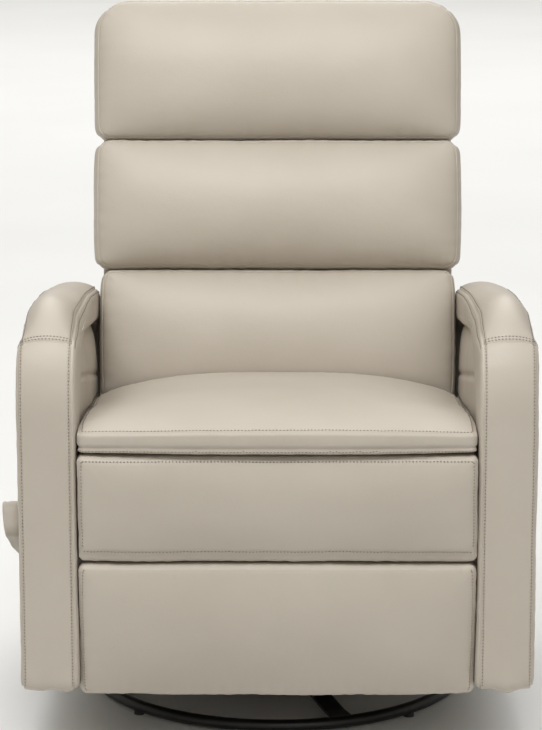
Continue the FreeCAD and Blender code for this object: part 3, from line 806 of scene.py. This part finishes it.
def arm_stations():
    """Matching points along the band's outline and its window, and the rings of the cross seams."""
    outer = rounded([
        (ARM_FRONT, ARM_LOW, 14),
        (ARM_FRONT, ARM_HIGH, 142),
        (ARM_REAR, arm_top(ARM_REAR), 90),
        (ARM_REAR, ARM_LOW, 14),
    ], 30, 60)
    window = rounded([
        (WINDOW_FRONT, WINDOW_LOW, 15),
        (WINDOW_FRONT, arm_top(WINDOW_FRONT) - WINDOW_DROP, 175),
        (WINDOW_REAR, arm_top(WINDOW_REAR) - WINDOW_DROP, 50),
        (WINDOW_REAR, WINDOW_LOW, 15),
    ], 30, 60)
    distance, length = along_outline(outer)
    spots = []
    for part, height in ((outer[:, 0] < -300, FRONT_CROSS_Z), (outer[:, 0] > 200, REAR_CROSS_Z)):
        spots.append(distance[part][np.argmin(np.abs(outer[part, 1] - height))])
    places = graded(length, spots, 6.5, 1.2)
    outer_points = pick(outer, distance, length, places)
    window_points = pick(window, distance, length, places)
    return outer_points, window_points, places, spots


def runs_where(points, normals, keep):
    """The stretches of a closed line where keep is true, as open rows for stitches."""
    if keep.all():
        return [(points, normals, True)]
    start = int(np.argmin(keep))
    rows, current = [], []
    for i in [(start + k) % len(points) for k in range(len(points) + 1)]:
        if keep[i]:
            current.append(i)
        elif current:
            rows.append((points[current], normals[current], False))
            current = []
    return [row for row in rows if len(row[0]) > 12]


def arm_loop(name, side, stations, section):
    """The band's mesh, domed towards its edges where it is the armrest's top."""
    outline, window, _, _ = stations
    lateral, out_share, round_off, _, _ = section
    course = unit(np.roll(outline, -1, 0) - np.roll(outline, 1, 0))
    rings = []
    for outer, inner, (run_y, run_z) in zip(outline, window, course):
        rise = float(smoothstep(over_top(outer[0], outer[1]), -80, -6))
        forward = 1 - float(smoothstep(outer[0], -400, 30))
        dome = ARM_DOME_REAR + (ARM_DOME_FRONT - ARM_DOME_REAR) * forward
        drop = rise * dome * round_off
        y = inner[0] + (outer[0] - inner[0]) * out_share + run_z * drop
        z = inner[1] + (outer[1] - inner[1]) * out_share - run_y * drop
        rings.append(np.stack([side * (ARM_MIDDLE + lateral), y, z], 1))
    faces = ring_faces(len(rings), len(lateral), True)
    return mesh_object(name, np.concatenate(rings) * MM, faces)


def ripple_hem(band, side):
    """Small pleats where the leather turns under the arm."""
    place = coordinates(band)
    ripple = np.sin(place[:, 0] / 0.0105 + side) + 0.6 * np.sin(place[:, 0] / 0.006 + place[:, 1] * 40)
    fade = 1 - smoothstep(place[:, 2], 0.106, 0.15)
    set_coordinates(band, place + vertex_normals(band) * (ripple * fade * 1.7 * MM)[:, None])


def seam_band(band, side, stations, section):
    """Presses the band's seams and stitch rows into it, and gives the rows."""
    _, _, places, spots = stations
    _, _, _, columns, seams = section
    count = len(columns)

    def along_column(at):
        """Points and normals of the band's lengthwise line at a distance round its section."""
        column = np.arange(len(places)) * count + int(np.argmin(np.abs(columns - at)))
        return coordinates(band)[column], vertex_normals(band)[column]

    def across_ring(at):
        """Points and normals of the line over the band's face at a distance round its outline."""
        first, last = [int(np.argmin(np.abs(columns - seam))) for seam in seams]
        ring = int(np.argmin(np.abs(places - at))) * count + np.arange(first, last + 1)
        return coordinates(band)[ring], vertex_normals(band)[ring]

    for seam in seams:
        line, _ = resample(*along_column(seam), SEAM_STEP * MM)
        press(band, line, depth=2.4, width=1.7, gathers=0.5, reach=14, seed=30 + side)
    for spot in spots:
        line, _ = resample(*across_ring(spot), SEAM_STEP * MM, False)
        press(band, line, depth=2.2, width=1.7)
    rows = []
    for seam, inward in zip(seams, (1, -1)):
        for distance in (-4.0, 4.0):
            row, facing = resample(*along_column(seam + distance), SEAM_STEP * MM)
            near_top = over_top(row[:, 1] / MM, row[:, 2] / MM) > -74
            keep = (row[:, 2] > 0.118) & ((distance * inward > 0) | near_top)
            rows += runs_where(row, facing, keep)
    for spot, upward in zip(spots, (1, -1)):
        for rise in (4.5, 9.0):
            row, facing = across_ring(spot + upward * rise)
            rows.append((*resample(row, facing, SEAM_STEP * MM, False), False))
    for row, _, _ in rows:
        press(band, row, depth=0.8, width=1.3)
    return rows


def arm_band(side):
    """One arm: a padded leather loop, seamed along its edges and across its front and rear."""
    name = "arm_band_" + ("left" if side > 0 else "right")
    stations = arm_stations()
    section = arm_section()
    band = arm_loop(name, side, stations, section)
    rumple(band, amount=0.9, size=170, seed=20 + side)
    ripple_hem(band, side)
    stitches = stitch_rows(name + "_stitches", seam_band(band, side, stations, section))
    settle(band, in_chair, "carriage")
    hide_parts("arm_pad_" + ("left" if side > 0 else "right"))
    settle(stitches, in_chair, "carriage", THREAD_WITH_HOLE_SHADE)


def arm_panel_folds(name, panel, side):
    """Presses two folds along the arm's inner panel, and stitches both sides of the lower one."""
    span = np.linspace(-330, 190, 240)

    def line_at(height, slope):
        z = height + slope * (span + 170)
        return np.stack([np.full(240, side * 298 * MM), span * MM, z * MM], 1)

    tree = surface(panel)
    for height, slope, depth, width in ((525, -0.21, 3.2, 4.5), (461, -0.11, 2.4, 2.5)):
        fold, facing = snap(line_at(height, slope), tree)
        fold, _ = resample(fold, facing, SEAM_STEP * MM, False)
        press(panel, fold, depth, width, gathers=0.8, reach=14, seed=70)
    tree = surface(panel)
    rows = []
    for gap in (-4.5, 4.5):
        row, facing = snap(line_at(461 + gap, -0.11)[12:-12], tree)
        rows.append((row, facing, False))
    return stitch_rows(name + "_stitches", rows)


def arm_panel(side, inward):
    """The soft panel that closes the arm's window, on the seat's side or the outside."""
    name = "arm_panel_" + ("inner" if inward else "outer") + ("_left" if side > 0 else "_right")
    pad = Cushion(name, (544, 440, 12), edge=4, corner=(22, 60), step=6.5)

    def shape(a, b, t):
        y = (WINDOW_FRONT + WINDOW_REAR) / 2 + a * ((WINDOW_REAR - WINDOW_FRONT) / 2 + PANEL_TUCK)
        low = WINDOW_LOW - PANEL_TUCK
        high = arm_top(y) - WINDOW_DROP + PANEL_TOP_TUCK
        z = (low + high) / 2 + b * (high - low) / 2
        full = np.clip(1 - np.abs(a) ** 12, 0, 1) * np.clip(1 - np.abs(b) ** 7, 0, 1)
        out = (t + 1) / 2
        if inward:
            x = INNER_PANEL_X - out * (PANEL_EDGE + (15 + 3 * smoothstep(y, -120, 0)) * full)
        else:
            x = OUTER_PANEL_X + out * (PANEL_EDGE + 7 * full)
        return side * x, y, z

    pad.build(shape)
    subdivide(pad.obj)
    rumple(pad.obj, amount=1.0, size=120, seed=60 + side + 3 * inward)
    if inward:
        settle(arm_panel_folds(name, pad.obj, side), in_chair, "carriage", THREAD_WITH_HOLE_SHADE)
    settle(pad.obj, in_chair, "carriage")
    if inward:
        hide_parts("arm_panels_" + ("left" if side > 0 else "right"))


def rear_lower_cover():
    """The leather panel that closes the chair's rear below the back."""
    wide, tall, thick = 576, 254, 12
    pad = Cushion("rear_lower_cover", (wide, tall, thick), edge=5, corner=12, step=8)

    def shape(a, b, t):
        swell = 2 * (t + 1) * (1 - a ** 4) * (1 - b ** 4)
        return a * wide / 2, 256 + t * thick / 2 + swell, 245 + b * tall / 2

    pad.build(shape)
    subdivide(pad.obj)
    rumple(pad.obj, amount=1.0, size=150, seed=80)
    tree = surface(pad.obj)
    points, normals = pad.line(pad.ring(pad.counts[2]))
    row, facing = inside(points, normals, 8, tree)
    press(pad.obj, row, depth=1.0, width=3.0, gathers=0.5, reach=12, seed=81)
    stitches = stitch_rows("rear_lower_stitches", [(row, facing, True)])
    settle(pad.obj, in_chair, "carriage")
    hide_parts("rear_lower_panel")
    settle(stitches, in_chair, "carriage", THREAD_WITH_HOLE_SHADE)


# ---- footrest ------------------------------------------------------------------------------

FOOTREST_HALF = 288.5
FOOTREST_REAR = -377.0
FOOTREST_CROWN_AT = 0.45     # fullest height, as a share from the pad's middle (0) to its top (1)
FOOTREST_CAP = 8.0           # most that a pad swells as cloth
LIP_Z = 311.5                # groove of the flap's stitched lip


def footrest_pad(name, low, high, rims, crown, droop, rows_on):
    """A footrest pad with a face seam, and the parts of its stitch row that rows_on keeps.

    rims are the front positions of its lower and upper edge, crown that of its fullest height,
    and droop is how far its lower edge hangs down in the middle.
    """
    middle, tall = (low + high) / 2, (high - low) / 2
    pad = Cushion(name, (2 * FOOTREST_HALF, 2 * tall, 50), edge=5, corner=7, step=6)

    def shape(a, b, t):
        high_share = np.clip((b - FOOTREST_CROWN_AT) / (1 - FOOTREST_CROWN_AT), 0, 1)
        low_share = np.clip((FOOTREST_CROWN_AT - b) / (1 + FOOTREST_CROWN_AT), 0, 1)
        tall_swell = np.clip(1 - high_share ** 2.2 - low_share ** 1.8, 0, 1) ** 0.8
        swell = np.clip(1 - np.abs(a) ** 6, 0, 1) ** 0.5 * tall_swell
        rim = rims[0] + (rims[1] - rims[0]) * (b + 1) / 2
        front = rim + (crown - rim) * swell
        bow = droop * (1 - a * a) * np.clip(-b, 0, 1)
        y = FOOTREST_REAR + (front - FOOTREST_REAR) * (t + 1) / 2
        return a * FOOTREST_HALF, y, middle + b * tall - bow

    pad.build(shape)
    held = np.where(pad.box[:, 2] < -0.5, 1.0, 0.0)
    rim_ring = pad.ring(pad.counts[2])
    held[rim_ring] = 0.8
    pad.puff(cap=FOOTREST_CAP, held=held)
    obj = pad.obj
    subdivide(obj)
    rumple(obj, amount=0.9, size=160, seed=int(low))
    points, normals = pad.line(rim_ring)
    press(obj, points, depth=1.8, width=2.4, gathers=0.8, reach=15, seed=int(low))
    tree = surface(obj)
    points, normals = pad.line(rim_ring)
    row, facing = inside(points, normals, 5, tree)
    press(obj, row, depth=0.6, width=1.4)
    return obj, runs_where(row, facing, rows_on(row))


def press_lip(flap):
    """Presses in the groove of the flap's lip, and gives the stitch row a little above it."""
    across = np.linspace(-0.283, 0.283, 300)
    for height, depth, width in ((LIP_Z, 3.4, 5.6), (LIP_Z + 5, 0.8, 3.0)):
        line = np.stack([across, np.full(300, -0.43), np.full(300, height * MM)], 1)
        line, facing = resample(*snap(line, surface(flap)), SEAM_STEP * MM, False)
        press(flap, line, depth, width)
    return line, facing, False


def footrest_flap():
    """The upper pad, stitched along its top and sides, with a lip along its lower edge."""
    flap, rows = footrest_pad("footrest_flap", low=305, high=464, rims=(-417, -424), crown=-436,
                              droop=0.0, rows_on=lambda p: p[:, 2] > 0.33)
    stitches = stitch_rows("footrest_flap_stitches", rows + [press_lip(flap)])
    settle(flap, in_chair, "flap")
    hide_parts("flap_pad")
    settle(stitches, in_chair, "flap", THREAD_WITH_HOLE_SHADE)


def footrest_ottoman():
    """The lower pad, stitched along its sides."""
    ottoman, rows = footrest_pad("footrest_ottoman", low=99, high=301, rims=(-398, -420), crown=-430,
                                 droop=3.0, rows_on=lambda p: np.abs(p[:, 0]) > 0.279)
    stitches = stitch_rows("footrest_ottoman_stitches", rows)
    settle(ottoman, in_chair, "ottoman")
    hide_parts("ottoman_pad")
    settle(stitches, in_chair, "ottoman", THREAD_WITH_HOLE_SHADE)


# ---- lever ---------------------------------------------------------------------------------

LEVER_LEAN = math.radians(31.6)
LEVER_Y = -206.0             # the point of the paddle that its outline is drawn from
LEVER_Z = 288.0
LEVER_INNER_X = -381.0       # its side towards the arm
LEVER_HALF_THICK = 12.5


def lever():
    """The leather-covered paddle on the outside of the arm that opens the footrest.

    The outline is along and across the paddle, and each level a share of it and an offset out.
    """
    outline = rounded([(66, -20, 18), (-40, -33, 60), (-113, -33, 14), (-113, 23, 20), (-40, 27, 60),
                       (66, 16, 16)], 8, 12)
    centre = outline.mean(0)
    levels = [(0.4, -12.5), (0.94, -12.3), (0.975, -11.0), (1.0, -7), (1.0, 10), (0.985, 14.0),
              (0.955, 15.8), (0.4, 16.5)]
    rings = []
    for share, offset in levels:
        along, across = (centre + (outline - centre) * share).T
        y = LEVER_Y + along * math.cos(LEVER_LEAN) + across * math.sin(LEVER_LEAN)
        z = LEVER_Z - along * math.sin(LEVER_LEAN) + across * math.cos(LEVER_LEAN)
        flare = np.clip(0.42 + 0.65 * (z - 244) / 125, 0.3, 1.07)
        rings.append(np.stack([LEVER_INNER_X - (LEVER_HALF_THICK + offset) * flare, y, z], 1))
    count = len(outline)
    faces = ring_faces(len(rings), count, False)
    faces.append(tuple(range(count)))
    faces.append(tuple(range((len(rings) - 1) * count, len(rings) * count)))
    paddle = mesh_object("lever_paddle", np.concatenate(rings) * MM, faces)
    subdivide(paddle)
    rumple(paddle, amount=0.5, size=70, seed=90)
    seam = np.arange(count) + 4 * count
    line, _ = resample(coordinates(paddle)[seam], vertex_normals(paddle)[seam], SEAM_STEP * MM)
    press(paddle, line, depth=1.0, width=2.0)
    settle(paddle, in_chair, "drive")
    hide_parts("lever_handle")


# ---- the frame's own finishes, floor, lights and camera --------------------------------------


def finish_cad_nodes():
    """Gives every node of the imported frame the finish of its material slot."""
    slots = {}
    for part in frame["record"]["subparts"]:
        slots[part["node"]] = part["material_slot"]
    for name, obj in frame["nodes"].items():
        obj.data.materials.clear()
        obj.data.materials.append(FINISHES[slots[name]])


def floor_plane():
    """A pale floor that runs on far behind the chair."""
    reach = 40.0
    corners = [(-reach, -reach, 0), (reach, -reach, 0), (reach, reach, 0), (-reach, reach, 0)]
    floor = mesh_object("floor", corners, [(0, 1, 2, 3)])
    pale = material("pale_floor", ((0.80, 0.80, 0.795), (0.83, 0.83, 0.825)), 900, (0.55, 0.65),
                    grain=("noise", 30, 0.1))
    floor.data.materials.append(pale)


def area_light(name, place, target, size, power, spread=180.0):
    """A soft box.  Metres, watts and degrees."""
    data = bpy.data.lights.new(name, "AREA")
    data.shape = "RECTANGLE"
    data.size, data.size_y = size
    data.energy = power
    data.spread = math.radians(spread)
    light = bpy.data.objects.new(name, data)
    light.location = place
    aim = Vector(target) - Vector(place)
    light.rotation_euler = aim.to_track_quat("-Z", "Y").to_euler()
    bpy.context.scene.collection.objects.link(light)


def studio():
    """A dome, white and bright overhead, warmer and dimmer low down, and four soft boxes."""
    world = bpy.data.worlds.new("studio")
    bpy.context.scene.world = world
    world.use_nodes = True
    nodes, links = world.node_tree.nodes, world.node_tree.links
    sky = nodes["Background"]
    tint = nodes.new("ShaderNodeValToRGB")
    tint.color_ramp.elements[0].color = (1.0, 0.95, 0.80, 1)
    tint.color_ramp.elements[1].color = (1.0, 1.0, 1.0, 1)
    place = nodes.new("ShaderNodeTexCoord")
    parts = nodes.new("ShaderNodeSeparateXYZ")
    links.new(place.outputs["Generated"], parts.inputs["Vector"])
    height = nodes.new("ShaderNodeMapRange")
    height.inputs["To Min"].default_value = 0.12
    height.inputs["To Max"].default_value = 0.95
    links.new(parts.outputs["Z"], height.inputs["Value"])
    links.new(height.outputs["Result"], sky.inputs["Strength"])
    links.new(parts.outputs["Z"], tint.inputs["Fac"])
    links.new(tint.outputs["Color"], sky.inputs["Color"])
    area_light("key", (-0.3, -1.55, 2.9), (0, 0, 0.85), (2.2, 1.0), 17.5, spread=95)
    area_light("fill", (0.9, -4.0, 1.9), (0, 0, 0.8), (2.6, 2.0), 11)
    area_light("backdrop", (0.0, 7.5, 5.0), (0, 7.5, 0), (9.0, 7.0), 260)
    area_light("rear", (0.3, 2.6, 2.9), (0, 0, 0.55), (2.5, 1.5), 16)
    bpy.context.scene.view_settings.view_transform = "Standard"


def camera():
    """A long lens straight in front, looking down a little."""
    data = bpy.data.cameras.new("camera")
    data.sensor_width = 36.0
    data.lens = CAMERA_LENS
    data.shift_x = CAMERA_SHIFT
    seen = bpy.data.objects.new("camera", data)
    seen.location = CAMERA_PLACE
    seen.rotation_euler = (math.radians(90 - CAMERA_DOWN), 0, 0)
    bpy.context.scene.collection.objects.link(seen)
    bpy.context.scene.camera = seen


finish_cad_nodes()
back_cushions()
back_top_roll()
back_side_panels()
back_rear_cover()
seat_cushion()
for arm_side in (-1, 1):
    arm_band(arm_side)
    arm_panel(arm_side, True)
    arm_panel(arm_side, False)
rear_gusset()
rear_lower_cover()
footrest_flap()
footrest_ottoman()
lever()
floor_plane()
studio()
camera()
